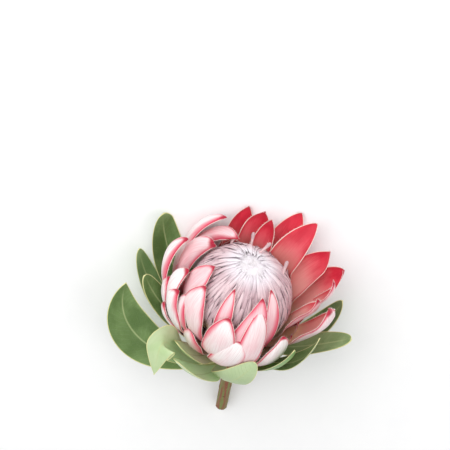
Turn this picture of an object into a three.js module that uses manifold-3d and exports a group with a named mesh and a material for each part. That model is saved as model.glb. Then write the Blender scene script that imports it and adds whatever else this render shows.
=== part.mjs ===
// A cut king-type protea lying on a flat surface: an open head of bracts round a dome of florets,
// leathery leaves just below it, and a thick cut stem.
//
// Every piece is worked out in the flower's own frame: z runs up the head's axis from the point
// where the stem meets the head, x points to the side on which the head is widest open, and y
// points down to the surface. Azimuth 0 is +x, 90 is down, 180 is -x and -90 is up.

import * as THREE from 'three';
import { mergeVertices } from 'three/addons/utils/BufferGeometryUtils.js';
import Module from 'manifold-3d';

// ---------------------------------------------------------------- driving dimensions, mm and degrees
const HEAD_LIFT = 18;             // rise of the axis above the surface, stem end to head
const STEM_LENGTH = 120;          // cut end to head
const STEM_RADIUS = 6.5;
const DOME_RADIUS = 55;           // the florets' dome
const DOME_OFFSET = -4;           // its centre along x, and above the head's base
const DOME_HEIGHT = 64;
const SEAT_GAP = 0.3;             // between pieces that touch

const BRACT_THICKNESS = 1.0;
const BRACT_WIDTH_SPREAD = 0.08;  // bracts are up to this share wider or narrower than listed
const BRACT_ROLL = 5;             // and turned by up to this much about their own line
const DOME_CLEARANCE = 4.2;       // bracts pressed on the dome stay this far out of it
const LAYER_STEP = 1.6;           // and each row further out adds this much
const FREE_SWING = 60;            // most that a bract bends away from its chord at each end
const PRESSED_SWING = 9;          // the same for a bract pressed on the surface
const LAYERS_END = [92, 118];     // over these heights, layers pressed on the surface draw together
const LEAF_THICKNESS = 1.1;

// Rows of bracts from the outside in. Each row starts on a ring (radius, height) of the receptacle
// and rises from it at an angle above square to the axis. A tip is [azimuth, radius, height, width
// of the bract]. Some bracts have their own root (its azimuth, where they lean round the head),
// rise, swing (how far they bend away from their chord) or roll (about their own line).
const BRACT_ROWS = [
  { ring: [22, -3], rises: -12, tips: [
    [-108, 43, 8, 24], [-66, 43, 8, 24], [-24, 50, 4, 24], [16, 57, 6, 24], [58, 45, 4, 24],
    [98, 39, 2, 24], [138, 49, 2, 24], [176, 54, -3, 24], [-160, 52, -3, 22]] },
  { ring: [34, -1], rises: 4, tips: [
    [-85, 70, 68, 38, { root: -108, rises: 14 }], [-43, 71, 65, 34, { root: -58, rises: 16 }],
    [-8, 62, 26, 32], [28, 84, 54, 38], [62, 68, 54, 30], [97, 62, 52, 30], [132, 68, 54, 32],
    [176, 86, 67, 38, { rises: -10, roll: 15 }], [-169, 88, 48, 30, { rises: -4, roll: 10 }],
    [-140, 66, 44, 36, { rises: 2 }]] },
  { ring: [33.5, 2.5], rises: 14, tips: [
    [-102, 63, 92, 38, { root: -112, rises: 22 }], [-69, 52, 103, 30, { root: -86, rises: 20 }],
    [-28, 62, 34, 32], [6, 66, 36, 34], [44, 84, 76, 36], [80, 74, 87, 30], [115, 74, 86, 30],
    [126, 62, 131, 42, { root: 182, rises: 5, swing: 68, roll: 22 }],
    [163, 77, 115, 30, { root: 174, rises: 2, swing: 66, roll: 22 }],
    [-164, 77, 78, 38, { rises: 4, roll: 8 }]] },
  { ring: [32.5, 6], rises: 26, tips: [
    [-143, 56, 105, 44], [-64, 44, 110, 36, { root: -108 }],
    [-22, 105, 105, 46, { root: -8, roll: -7 }],
    [17, 109, 101, 40, { root: 29, rises: 44, roll: 14 }],
    [62, 97, 123, 44, { root: 80, rises: 50, roll: 8 }], [99, 86, 119, 40, { root: 124 }],
    [120, 38, 122, 36, { root: 190, rises: 4, swing: 82, roll: 12 }],
    [-176, 67, 96, 38, { rises: 2, swing: 67, roll: 12 }], [-96, 58, 78, 26],
    [-157, 68, 80, 34, { rises: 10 }]] },
  { ring: [31, 9], rises: 38, tips: [
    [-108, 38, 111, 20], [-46, 37, 111, 21, { root: -74 }],
    [1, 99, 105, 34, { root: 14, roll: -22 }],
    [28, 102, 106, 40, { root: 44, rises: 62, roll: 10 }],
    [47, 94, 127, 37, { root: 64, rises: 74, roll: 6 }], [86, 78, 128, 40, { root: 106 }],
    [115, 56, 100, 24], [156, 49, 120, 42, { root: 168, rises: 6, swing: 72, roll: 20 }],
    [-160, 37, 113, 46, { root: -166, rises: 20, swing: 62 }], [-178, 54, 84, 34, { rises: 24 }]] },
  { ring: [29.5, 12], rises: 50, tips: [
    [-17, 88, 101, 36, { root: -6, roll: -4 }], [77, 72, 124, 30, { root: 94 }]] },
];

// Leaves: height of the seat on the stem, azimuth there and at the tip, the tip's radius and
// height, the angle at which the leaf rises from the stem, its width and its roll. Two leaves turn
// up sharply, and their corners are the inner ones of their curve. A higher point is a sharper tip.
const LEAVES = [
  { seat: -26, azimuths: [138, 148], tip: [123, 100], rises: 6, width: 50, roll: -12 },
  { seat: -48, azimuths: [156, 160], tip: [131, 60], rises: 4, width: 30, roll: -14 },
  { seat: -22, azimuths: [168, 171], tip: [112, 50], rises: -2, width: 30, roll: -20 },
  {
    seat: -50, azimuths: [200, 178], tip: [129, 46], corners: [[66, -43], [141, -22]], rises: 7,
    width: 50, roll: -60, point: 0.8,
  },
  {
    seat: -36, azimuths: [-154, -138], tip: [107, -6], corners: [[80, -46], [98, 97]],
    width: 40, roll: -46, point: 0.8,
  },
  { seat: -14, azimuths: [-136, -138], tip: [82, 30], rises: -8, width: 36, roll: 0 },
  { seat: -34, azimuths: [-114, -125], tip: [98, 29], rises: 4, width: 46, roll: 0 },
  { seat: -18, azimuths: [-118, -71], tip: [73, 41], rises: -22, width: 34, roll: -14 },
  { seat: -13, azimuths: [-52, -41], tip: [84, 56], rises: -3, width: 28, roll: 0, point: 0.7 },
  { seat: -19, azimuths: [-31, -27], tip: [98, 70], rises: 3, width: 26, roll: 14 },
  { seat: -17, azimuths: [-3, -8], tip: [124, 50], rises: 16, width: 32, roll: 8 },
  { seat: -34, azimuths: [24, 16], tip: [112, 54], rises: -2, width: 30, roll: 10 },
  { seat: -18, azimuths: [66, 62], tip: [78, 18], rises: -6, width: 32, roll: 0 },
];

const HEAD_FOOT = -2;             // height at which the head sits on the stem
const RECEPTACLE_TOP = 14;        // and at which the dome sits in the bracts

const FLORET_COUNT = 200;
const FLORET_LENGTH = 20;
const FLORET_WIDTH = 3.0;
const FLORET_DEPTH = 3.0;         // how far its root is sunk in the dome's core

// where the head's base stands, so that the whole flower's box is centred on the origin
const HEAD_BASE = new THREE.Vector3(-9.69, 15, 0);

// ---------------------------------------------------------------- helpers
const wasm = await Module();
wasm.setup();

const radians = THREE.MathUtils.degToRad;
const lerp = THREE.MathUtils.lerp;
const lift = radians(HEAD_LIFT);
HEAD_BASE.z = STEM_LENGTH * Math.sin(lift) + STEM_RADIUS * Math.cos(lift);

// Depth y of the surface at a height on the axis.
function surfaceDepth(height) {
  return (HEAD_BASE.z + height * Math.sin(lift)) / Math.cos(lift);
}

// A repeatable draw from 0 to 1 for the nth piece.
function draw(n, salt) {
  const value = Math.sin(n * 12.9898 + salt * 78.233) * 43758.5453;
  return value - Math.floor(value);
}

function bareGeometry(geometry) {
  const bare = geometry.clone();
  bare.deleteAttribute('normal');
  bare.deleteAttribute('uv');
  return bare;
}

function toSolid(geometry) {
  const merged = mergeVertices(bareGeometry(geometry), 1e-5);
  return new wasm.Manifold(new wasm.Mesh({
    numProp: 3,
    vertProperties: new Float32Array(merged.attributes.position.array),
    triVerts: new Uint32Array(merged.index.array),
  }));
}

// One closed body: hollows that fusing sealed are filled and loose scraps are dropped.
function toGeometry(solid) {
  const bodies = solid.decompose().sort((a, b) => b.volume() - a.volume());
  const mesh = bodies[0].getMesh();
  const geometry = new THREE.BufferGeometry();
  geometry.setAttribute('position', new THREE.BufferAttribute(new Float32Array(mesh.vertProperties), 3));
  geometry.setIndex(new THREE.BufferAttribute(new Uint32Array(mesh.triVerts), 1));
  geometry.computeVertexNormals();
  return geometry;
}

// A closed plate between two grids of points, both rows x columns, front and back split alike.
function plate(front, back, rows, columns) {
  const positions = [...front, ...back].flatMap((p) => [p.x, p.y, p.z]);
  const offset = rows * columns;
  const index = [];
  const at = (i, j) => i * columns + j;
  for (let i = 0; i < rows - 1; i += 1) {
    for (let j = 0; j < columns - 1; j += 1) {
      const [a, b, c, d] = [at(i, j), at(i, j + 1), at(i + 1, j + 1), at(i + 1, j)];
      index.push(a, b, c, a, c, d);
      index.push(offset + a, offset + c, offset + b, offset + a, offset + d, offset + c);
    }
  }
  const rim = [];
  for (let j = 0; j < columns - 1; j += 1) rim.push(at(0, j));
  for (let i = 0; i < rows - 1; i += 1) rim.push(at(i, columns - 1));
  for (let j = columns - 1; j > 0; j -= 1) rim.push(at(rows - 1, j));
  for (let i = rows - 1; i > 0; i -= 1) rim.push(at(i, 0));
  rim.forEach((p, k) => {
    const q = rim[(k + 1) % rim.length];
    index.push(p, offset + p, offset + q, p, offset + q, q);
  });
  const geometry = new THREE.BufferGeometry();
  geometry.setAttribute('position', new THREE.Float32BufferAttribute(positions, 3));
  geometry.setIndex(index);
  return geometry;
}

// The line along a blade: a curve by its corners in the plane of radius and height, while the
// azimuth turns evenly from one value to the other.
function curveLine(corners, azimuths) {
  const curve = new THREE.CubicBezierCurve(...corners.map((corner) => new THREE.Vector2(...corner)));
  return (t) => {
    const { x: radius, y: height } = curve.getPoint(t);
    const azimuth = radians(lerp(azimuths[0], azimuths[1], t));
    return new THREE.Vector3(radius * Math.cos(azimuth), radius * Math.sin(azimuth), height);
  };
}

// A line that bends evenly from start to end and leaves start at the angle rises.
function arcLine(start, end, rises, azimuths, mostSwing = 90) {
  const chord = Math.hypot(end[0] - start[0], end[1] - start[1]);
  const chordAngle = Math.atan2(end[1] - start[1], end[0] - start[0]);
  const swing = Math.min(chordAngle - radians(rises), radians(mostSwing));
  const handle = chord / (3 * Math.cos(swing / 2) ** 2);
  const first = chordAngle - swing;
  const last = chordAngle + swing;
  return curveLine([
    start,
    [start[0] + handle * Math.cos(first), start[1] + handle * Math.sin(first)],
    [end[0] - handle * Math.cos(last), end[1] - handle * Math.sin(last)],
    end,
  ], azimuths);
}

// A blade along a line. halfWidth, cup (the radius to which it is bent across) and roll depend on
// the place t along it; keep moves a point that would lie inside or under something else.
function blade({ line, stations, across, halfWidth, cup, thickness, roll, keep }) {
  const front = [];
  const back = [];
  const step = 0.01;
  stations.forEach((t) => {
    const centre = line(t);
    const tangent = line(Math.min(t + step, 1)).sub(line(Math.max(t - step, 0))).normalize();
    const side = new THREE.Vector3(-centre.y, centre.x, 0).projectOnPlane(tangent).normalize();
    side.applyAxisAngle(tangent, radians(roll(t)));
    const inward = new THREE.Vector3().crossVectors(tangent, side);
    across.forEach((u) => {
      const angle = (u * halfWidth(t)) / cup(t);
      const point = centre.clone()
        .addScaledVector(side, cup(t) * Math.sin(angle))
        .addScaledVector(inward, cup(t) * (1 - Math.cos(angle)));
      const normal = inward.clone().multiplyScalar(Math.cos(angle));
      normal.addScaledVector(side, -Math.sin(angle));
      front.push(keep(point.clone(), 0));
      back.push(keep(point.addScaledVector(normal, thickness), thickness));
    });
  });
  return plate(front, back, stations.length, across.length);
}

// ---------------------------------------------------------------- bracts and receptacle
const MOST_IN_ROW = 20;
const TIP_CUP = 0.75;
const TIP_POWERS = [0.6, 0.8];    // from the bluntest tip to the sharpest
const BRACT_STATIONS = [0, 0.22, 0.44, 0.64, 0.82, 0.94, 1];
const SCALE_STATIONS = [0, 0.5, 0.85, 1];
const BRACT_ACROSS = [-1, -0.4, 0.4, 1];

// Width of a bract as a share of its widest: narrow at the root, full past the middle, then a
// blunt point, which a higher power makes sharper.
function bractOutline(t, power) {
  const root = 0.5;
  const widest = 0.6;
  const end = 0.08;
  const rise = lerp(root, 1, Math.sin((Math.PI / 2) * Math.min(1, t / widest)));
  const fall = Math.max(0, (t - widest) / (1 - widest));
  return rise * Math.max(end, (1 - fall ** 2) ** power);
}

// How far a bract at an azimuth is pressed on the surface, from 0 to 1.
function pressed(azimuth) {
  return THREE.MathUtils.smoothstep(Math.sin(radians(azimuth)), 0.3, 0.85);
}

function bractSolid(row, n, tip) {
  const [azimuth, radius, height, width, own = {}] = tip;
  const { ring } = BRACT_ROWS[row];
  const { root = azimuth, rises = BRACT_ROWS[row].rises, roll = 0 } = own;
  const half = (width / 2) * lerp(1 - BRACT_WIDTH_SPREAD, 1 + BRACT_WIDTH_SPREAD, draw(n, 1));
  const clearance = DOME_RADIUS + DOME_CLEARANCE + LAYER_STEP * (BRACT_ROWS.length - 1 - row);
  const centre = new THREE.Vector3(DOME_OFFSET, 0, DOME_HEIGHT);
  const swing = own.swing ?? lerp(FREE_SWING, PRESSED_SWING, pressed(azimuth));
  const power = lerp(...TIP_POWERS, draw(n, 9));
  return toSolid(blade({
    line: arcLine(ring, [radius, height], rises, [root, azimuth], swing),
    stations: row === 0 ? SCALE_STATIONS : BRACT_STATIONS,
    across: BRACT_ACROSS,
    halfWidth: (t) => half * bractOutline(t, power),
    cup: (t) => lerp(ring[0], width * TIP_CUP, t),
    thickness: BRACT_THICKNESS,
    roll: () => roll + lerp(-BRACT_ROLL, BRACT_ROLL, draw(n, 2)),
    keep: (point, depth) => {
      const least = clearance + BRACT_THICKNESS - depth;
      const fromCentre = point.clone().sub(centre);
      if (fromCentre.length() < least) point.copy(centre).addScaledVector(fromCentre.normalize(), least);
      const apart = 1 - THREE.MathUtils.smoothstep(point.z, ...LAYERS_END);
      const layers = LAYER_STEP * Math.max(0, row - 1) * apart;
      point.y = Math.min(point.y, surfaceDepth(point.z) - depth - layers);
      return point;
    },
  }));
}

function receptacleSolid() {
  const sides = 24;
  const outline = [
    [0, HEAD_FOOT], [12, HEAD_FOOT], [25, -5], [36, -2], [36.5, 4], [34, 11],
    [31.5, RECEPTACLE_TOP], [0, RECEPTACLE_TOP],
  ].map(([radius, height]) => new THREE.Vector2(radius, height));
  return toSolid(new THREE.LatheGeometry(outline, sides).rotateX(Math.PI / 2));
}

function bractsGeometry() {
  const solids = BRACT_ROWS.flatMap(({ tips }, row) => (
    tips.map((tip, k) => bractSolid(row, MOST_IN_ROW * row + k, tip))
  ));
  return toGeometry(wasm.Manifold.union([receptacleSolid(), ...solids]));
}

// ---------------------------------------------------------------- florets
const CORE_RADIUS = DOME_RADIUS - 1.6;
const GOLDEN_ANGLE = radians(137.508);

function coreSolid() {
  const bottomAngle = radians(-44);
  const footRadius = 24;
  const foot = RECEPTACLE_TOP + SEAT_GAP;
  const outline = [new THREE.Vector2(0, foot), new THREE.Vector2(footRadius, foot)];
  const steps = 9;
  const sides = 28;
  for (let k = 0; k <= steps; k += 1) {
    const angle = lerp(bottomAngle, Math.PI / 2, k / steps);
    const radius = k === steps ? 0 : CORE_RADIUS * Math.cos(angle);
    outline.push(new THREE.Vector2(radius, DOME_HEIGHT + CORE_RADIUS * Math.sin(angle)));
  }
  const core = new THREE.LatheGeometry(outline, sides).rotateX(Math.PI / 2);
  return toSolid(core.translate(DOME_OFFSET, 0, 0));
}

// A floret: a three-sided needle that lies on the dome, root sunk, and points to the apex.
function floretSolid(n) {
  const lowest = -0.55;
  const highest = 0.995;
  const polar = Math.acos(lerp(lowest, highest, (n + 0.5) / FLORET_COUNT));
  const azimuth = n * GOLDEN_ANGLE;
  const length = FLORET_LENGTH * lerp(0.5, 1, Math.min(1, polar / 0.9));
  const onDome = (angle, radius) => new THREE.Vector3(
    DOME_OFFSET + radius * Math.sin(angle) * Math.cos(azimuth),
    radius * Math.sin(angle) * Math.sin(azimuth),
    DOME_HEIGHT + radius * Math.cos(angle),
  );
  const root = onDome(polar, CORE_RADIUS - FLORET_DEPTH);
  const belly = onDome(polar - 0.55 * (length / DOME_RADIUS), CORE_RADIUS + 0.2);
  const tip = onDome(polar - length / DOME_RADIUS, DOME_RADIUS + lerp(0.4, 1.4, draw(n, 3)));
  const forward = tip.clone().sub(root).normalize();
  const side = new THREE.Vector3(-Math.sin(azimuth), Math.cos(azimuth), 0);
  const up = new THREE.Vector3().crossVectors(side, forward).normalize();
  if (up.dot(onDome(polar, 1).sub(onDome(polar, 0))) < 0) up.negate();
  const half = FLORET_WIDTH / 2;
  const corners = [
    root,
    belly.clone().addScaledVector(side, half),
    belly.clone().addScaledVector(up, half),
    belly.clone().addScaledVector(side, -half),
    tip,
  ];
  const positions = corners.flatMap((corner) => corner.toArray());
  const geometry = new THREE.BufferGeometry();
  geometry.setAttribute('position', new THREE.Float32BufferAttribute(positions, 3));
  geometry.setIndex([0, 1, 2, 0, 2, 3, 0, 3, 1, 4, 2, 1, 4, 3, 2, 4, 1, 3]);
  return toSolid(geometry);
}

function floretsGeometry() {
  const solids = Array.from({ length: FLORET_COUNT }, (_, n) => floretSolid(n));
  return toGeometry(wasm.Manifold.union([coreSolid(), ...solids]));
}

// ---------------------------------------------------------------- stem
const STEM_TOP = HEAD_FOOT - SEAT_GAP;
const STEM_SIDES = 14;

// The stem thickens evenly towards the head and flares just below it.
function stemRadius(height) {
  const taper = 1;
  const flareLength = 14;
  const flareWidth = 3.2;
  const flare = Math.max(0, 1 - (STEM_TOP - height) / flareLength);
  return STEM_RADIUS + taper * (height / STEM_LENGTH + 1) + flareWidth * flare ** 2;
}

function stemGeometry() {
  const outline = [new THREE.Vector2(0, -STEM_LENGTH)];
  const heights = [-STEM_LENGTH, -96, -72, -48, -30, -16.5, -11, -6, STEM_TOP];
  heights.forEach((height) => outline.push(new THREE.Vector2(stemRadius(height), height)));
  outline.push(new THREE.Vector2(0, STEM_TOP));
  return mergeVertices(bareGeometry(new THREE.LatheGeometry(outline, STEM_SIDES).rotateX(Math.PI / 2)));
}

// ---------------------------------------------------------------- leaves
const LEAF_STATIONS = [0, 0.15, 0.32, 0.5, 0.68, 0.85, 0.96, 1];
const LEAF_ACROSS = [-1, -0.5, 0, 0.5, 1];
const LEAF_CUP = 1.1;             // radius to which a leaf is bent across, as a share of its width

// Width of a leaf as a share of its widest: a narrow stalk, widest two thirds out, and an end that
// is round where the power is a half and sharper where it is higher.
function leafOutline(t, power) {
  const stalk = 0.14;
  const widest = 0.62;
  const end = 0.2;
  if (t < widest) return lerp(stalk, 1, Math.sin((Math.PI / 2) * (t / widest)) ** 2);
  return Math.max(end, (1 - ((t - widest) / (1 - widest)) ** 2) ** power);
}

// The roll comes in gradually from the stalk.
function leafGeometry({ seat, azimuths, tip, rises = 0, corners, width, roll, point = 0.5 }) {
  const stalkRise = 3;
  const rolled = 0.6;
  const lean = LEAF_THICKNESS * Math.sin(radians(Math.max(0, rises)));
  const start = [stemRadius(Math.min(seat + stalkRise, STEM_TOP)) + SEAT_GAP + lean, seat];
  return blade({
    line: corners ? curveLine([start, ...corners, tip], azimuths) : arcLine(start, tip, rises, azimuths),
    stations: LEAF_STATIONS,
    across: LEAF_ACROSS,
    halfWidth: (t) => (width / 2) * leafOutline(t, point),
    cup: () => width * LEAF_CUP,
    thickness: LEAF_THICKNESS,
    roll: (t) => roll * THREE.MathUtils.smoothstep(t, 0, rolled),
    keep: (place, depth) => {
      place.y = Math.min(place.y, surfaceDepth(place.z) - depth);
      return place;
    },
  });
}

// ---------------------------------------------------------------- the flower
function piece(name, geometry, colour, roughness) {
  const material = new THREE.MeshStandardMaterial({ color: colour, roughness, metalness: 0 });
  const mesh = new THREE.Mesh(geometry, material);
  mesh.name = name;
  return mesh;
}

const flower = new THREE.Group();
flower.rotation.set(Math.PI / 2 - lift, 0, Math.PI);
flower.position.copy(HEAD_BASE);
flower.add(piece('stem', stemGeometry(), 0x8a7a52, 0.6));
flower.add(piece('bracts', bractsGeometry(), 0xe9a3ac, 0.65));
flower.add(piece('florets', floretsGeometry(), 0xe6d3da, 0.9));
LEAVES.forEach((leaf, k) => {
  flower.add(piece(`leaf_${String(k + 1).padStart(2, '0')}`, leafGeometry(leaf), 0x6f9b62, 0.45));
});

const object = new THREE.Group();
object.add(flower);
export default object;
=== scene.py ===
"""A cut protea lying on its side: an open head of bracts round a dome of florets, the leaves just
below it and a short stem. Every piece is worked out in millimetres in the head's own frame, where z
runs up the head's axis from the place where the stem meets it, x points to the side on which the
head is widest open and y points down to the surface. Azimuth 0 is +x, 90 is down and -90 is up."""
import math

import bpy
import numpy as np
from mathutils import Matrix


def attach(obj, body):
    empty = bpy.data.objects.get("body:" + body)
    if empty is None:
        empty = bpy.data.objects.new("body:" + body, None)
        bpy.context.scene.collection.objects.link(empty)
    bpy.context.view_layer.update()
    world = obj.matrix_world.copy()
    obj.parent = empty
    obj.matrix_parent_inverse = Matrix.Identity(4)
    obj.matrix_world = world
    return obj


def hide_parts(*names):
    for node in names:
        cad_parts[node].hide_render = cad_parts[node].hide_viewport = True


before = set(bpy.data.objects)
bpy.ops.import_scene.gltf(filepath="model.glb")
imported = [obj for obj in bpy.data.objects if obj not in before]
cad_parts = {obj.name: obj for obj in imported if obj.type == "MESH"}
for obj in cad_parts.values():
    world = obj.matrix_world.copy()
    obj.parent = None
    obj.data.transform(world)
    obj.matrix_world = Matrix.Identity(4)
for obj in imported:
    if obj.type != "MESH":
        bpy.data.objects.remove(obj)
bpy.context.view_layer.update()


# ---------------------------------------------------------------- stem
# The stem is a woody shoot, cut square with a blade. Its skin is reddish green and ridged, with
# the scars of the leaves that were stripped off, and its cut end shows pale wood round a pith.
HEAD_LIFT = math.radians(18)
STEM_LENGTH = 120
STEM_RADIUS = 6.5
HEAD_BASE = np.array([
    -9.69, 15.0, STEM_LENGTH * math.sin(HEAD_LIFT) + STEM_RADIUS * math.cos(HEAD_LIFT),
])
STEM_TOP = -2.3


def laid(points):
    """Turns points of the head's frame, in mm, into the object's, in metres: x is negated, y and z
    are turned by the lift so that y runs down and back and z forward and up, and the place of the
    head's base is added."""
    x, y, z = np.moveaxis(np.asarray(points, float), -1, 0)
    sine, cosine = math.sin(HEAD_LIFT), math.cos(HEAD_LIFT)
    turned = np.stack([-x, -sine * y - cosine * z, -cosine * y + sine * z], -1)
    return (HEAD_BASE + turned) / 1000


def draw(n, salt):
    """A repeatable draw from 0 to 1: the fraction of a large multiple of a sine."""
    value = np.sin(n * 12.9898 + salt * 78.233) * 43758.5453
    return value - np.floor(value)


def smooth(x, low, high):
    """Rises from 0 at low to 1 at high as 3s^2 - 2s^3, where s is the share of the way."""
    s = np.clip((x - low) / (high - low), 0, 1)
    return s * s * (3 - 2 * s)


def paint(red, green, blue):
    """A colour given from 0 to 255 as a screen shows it, as linear light with full alpha."""
    share = np.array([red, green, blue]) / 255
    linear = np.where(share < 0.04045, share / 12.92, ((share + 0.055) / 1.055) ** 2.4)
    return (*linear.tolist(), 1.0)


class Wire:
    """A shader socket that can stand in sums: each operation adds one Math node."""

    def __init__(self, finish, socket):
        self.finish = finish
        self.socket = socket

    def math(self, operation, first, second=0.0):
        return self.finish.node("ShaderNodeMath", {"operation": operation}, {0: first, 1: second})

    def __add__(self, other):
        return self.math("ADD", self, other)

    def __sub__(self, other):
        return self.math("SUBTRACT", self, other)

    def __rsub__(self, other):
        return self.math("SUBTRACT", other, self)

    def __mul__(self, other):
        return self.math("MULTIPLY", self, other)

    def __truediv__(self, other):
        return self.math("DIVIDE", self, other)

    __radd__ = __add__
    __rmul__ = __mul__

    def rise(self, low, high):
        """0 up to low, 1 from high on, and smooth between them; low may be the larger."""
        return self.finish.node(
            "ShaderNodeMapRange", {"interpolation_type": "SMOOTHSTEP"},
            {"Value": self, "From Min": low, "From Max": high},
        )


class Finish:
    """A material under a name, with one method that adds any node to it."""

    def __init__(self, name, **constants):
        self.material = bpy.data.materials.new(name)
        self.material.use_nodes = True
        self.tree = self.material.node_tree
        self.shader = self.tree.nodes["Principled BSDF"]
        for socket, value in constants.items():
            self.shader.inputs[socket.replace("_", " ")].default_value = value

    def node(self, kind, settings=None, sockets=None, output=0):
        made = self.tree.nodes.new(kind)
        for setting, value in (settings or {}).items():
            setattr(made, setting, value)
        self.plug(made, sockets or {})
        return Wire(self, made.outputs[output])

    def plug(self, made, sockets):
        for key, value in sockets.items():
            if isinstance(value, Wire):
                self.tree.links.new(value.socket, made.inputs[key])
            else:
                made.inputs[key].default_value = value

    def field(self, name):
        """A number that the mesh holds for each of its points."""
        return self.node("ShaderNodeAttribute", {"attribute_name": name}, output="Fac")

    def place(self, *stretch):
        """The mesh's own place on the piece, across and along in mm, each axis multiplied."""
        place = self.node("ShaderNodeAttribute", {"attribute_name": "place"}, output="Vector")
        return self.node("ShaderNodeVectorMath", {"operation": "MULTIPLY"}, {0: place, 1: stretch})

    def noise(self, vector, scale, detail):
        return self.node(
            "ShaderNodeTexNoise", {}, {"Vector": vector, "Scale": scale, "Detail": detail},
        )

    def grain(self, *stretch, detail=2.0):
        """Noise on the place."""
        return self.noise(self.place(*stretch), 1.0, detail)

    def speckle(self, scale, detail=2.0):
        """Noise on the object's own coordinates, for a piece that holds no place."""
        return self.noise(self.node("ShaderNodeTexCoord", output="Object"), scale, detail)

    def coats(self, base, *coats):
        """A base paint with coats laid over it in turn, each by its share, which comes before it. A
        coat is a paint or another colour of this material."""
        colour = paint(*base)
        for share, *coat in coats:
            coat = paint(*coat) if len(coat) == 3 else coat[0]
            colour = self.node(
                "ShaderNodeMix", {"data_type": "RGBA"}, {"Factor": share, 6: colour, 7: coat}, output=2,
            )
        return colour

    def close(self, colour, roughness, height=None, depth=0.0):
        """Joins the colour, the roughness and any relief, whose depth is in mm, to the shader."""
        self.plug(self.shader, {"Base Color": colour, "Roughness": roughness})
        if height is not None:
            bump = self.node("ShaderNodeBump", {}, {"Height": height, "Distance": depth / 1000})
            self.plug(self.shader, {"Normal": bump})
        return self.material


def added(name, data):
    """An object that shows a mesh, a lamp or a camera in the scene."""
    made = bpy.data.objects.new(name, data)
    bpy.context.scene.collection.objects.link(made)
    return made


def new_piece(name, shape, finishes, slot, *nodes):
    """One mesh object that rides on the root and stands for CAD nodes. Its shape is its points in
    the head's frame, its faces, its fields, which give a number or a vector for each point, and,
    where it has two finishes, the one of each face. Points and fields are grids of any form."""
    mesh = bpy.data.meshes.new(name)
    points, faces, fields, *finish_of_face = shape
    points = np.reshape(points, (-1, 3))
    mesh.from_pydata(laid(points).tolist(), [], faces)
    for key, values in fields.items():
        values = np.asarray(values, np.float32).ravel()
        kind, read = ("FLOAT", "value") if len(values) == len(points) else ("FLOAT_VECTOR", "vector")
        mesh.attributes.new(key, kind, "POINT").data.foreach_set(read, values)
    for finish in finishes:
        mesh.materials.append(finish)
    if finish_of_face:
        mesh.polygons.foreach_set("material_index", np.asarray(finish_of_face[0], np.int32))
    mesh.shade_smooth()
    piece = added(name, mesh)
    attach(piece, "root")
    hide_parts(*nodes)


def ring_faces(rows, around, start=0):
    """Quads between rows of closed rings, each ring numbered on from the one before."""
    i, j = np.meshgrid(np.arange(rows - 1), np.arange(around), indexing="ij")
    following = (j + 1) % around
    quads = [i * around + j, i * around + following, (i + 1) * around + following, (i + 1) * around + j]
    return (np.stack(quads, -1).reshape(-1, 4) + start).tolist()


def tube_faces(rows, around, count=1):
    """For each of several tubes, the quads between its rings and a face over either end."""
    faces = []
    for start in range(0, count * rows * around, rows * around):
        last = start + (rows - 1) * around
        faces += ring_faces(rows, around, start)
        faces += [list(range(start, start + around))[::-1], list(range(last, last + around))]
    return faces


def round_axis(radius, azimuth, height):
    """The points at a radius, an azimuth and a height on the head's axis."""
    x, y = radius * np.cos(azimuth), radius * np.sin(azimuth)
    return np.stack([x, y, np.broadcast_to(height, x.shape)], -1)


FLARE = 3.2
FLARE_HEIGHT = 14


def stem_radius(height):
    """Thickens evenly by 1 mm up to the head, and by the flare more over its height, as a square."""
    flare = np.clip(1 - (STEM_TOP - height) / FLARE_HEIGHT, 0, None)
    return STEM_RADIUS + height / STEM_LENGTH + 1 + FLARE * flare ** 2


SCAR_COUNT = 11
SCAR_TURN = math.radians(137.5)
SCAR_LOWEST = -108
SCAR_STEP = 5.6
SCAR_SWELLING = 0.55
SWELLING_REACH = (3.0, 3.2)
SCAR_DENT = 0.45
DENT_REACH = (1.7, 0.9)
DENT_RISE = 0.6
RIDGES = (0.16, 0.1)


def stem_surface(height, azimuth):
    """The radius over height and azimuth: the stem's own radius, less ridges that are a sum of two
    sines round it, plus for each leaf scar a bell-shaped swelling with a small dent above it."""
    broad, fine = np.sin(7 * azimuth + 0.03 * height), np.sin(17 * azimuth - 0.05 * height)
    radius = stem_radius(height) + RIDGES[0] * broad + RIDGES[1] * fine - sum(RIDGES)
    scars = np.zeros_like(radius)
    for k in range(SCAR_COUNT):
        off = np.angle(np.exp(1j * (azimuth - k * SCAR_TURN))) * STEM_RADIUS
        up = height - (SCAR_LOWEST + k * SCAR_STEP)
        swelling = np.exp(-(off / SWELLING_REACH[0]) ** 2 - (up / SWELLING_REACH[1]) ** 2)
        dent = np.exp(-(off / DENT_REACH[0]) ** 2 - ((up - DENT_RISE) / DENT_REACH[1]) ** 2)
        radius = radius + SCAR_SWELLING * swelling - SCAR_DENT * dent
        scars = scars + dent
    return radius, scars


STEM_STATIONS = 120
STEM_CORNERS = 64
# the rings of the cut end: each one's share of the radius, and how far it lies above the cut
CUT_SHARES = np.array([0.97, 0.9, 0.7, 0.45, 0.2, 0.06])[:, None]
CUT_SUNK = np.array([0.0, 0.15, 0.2, 0.2, 0.35, 0.6])[:, None]


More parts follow.
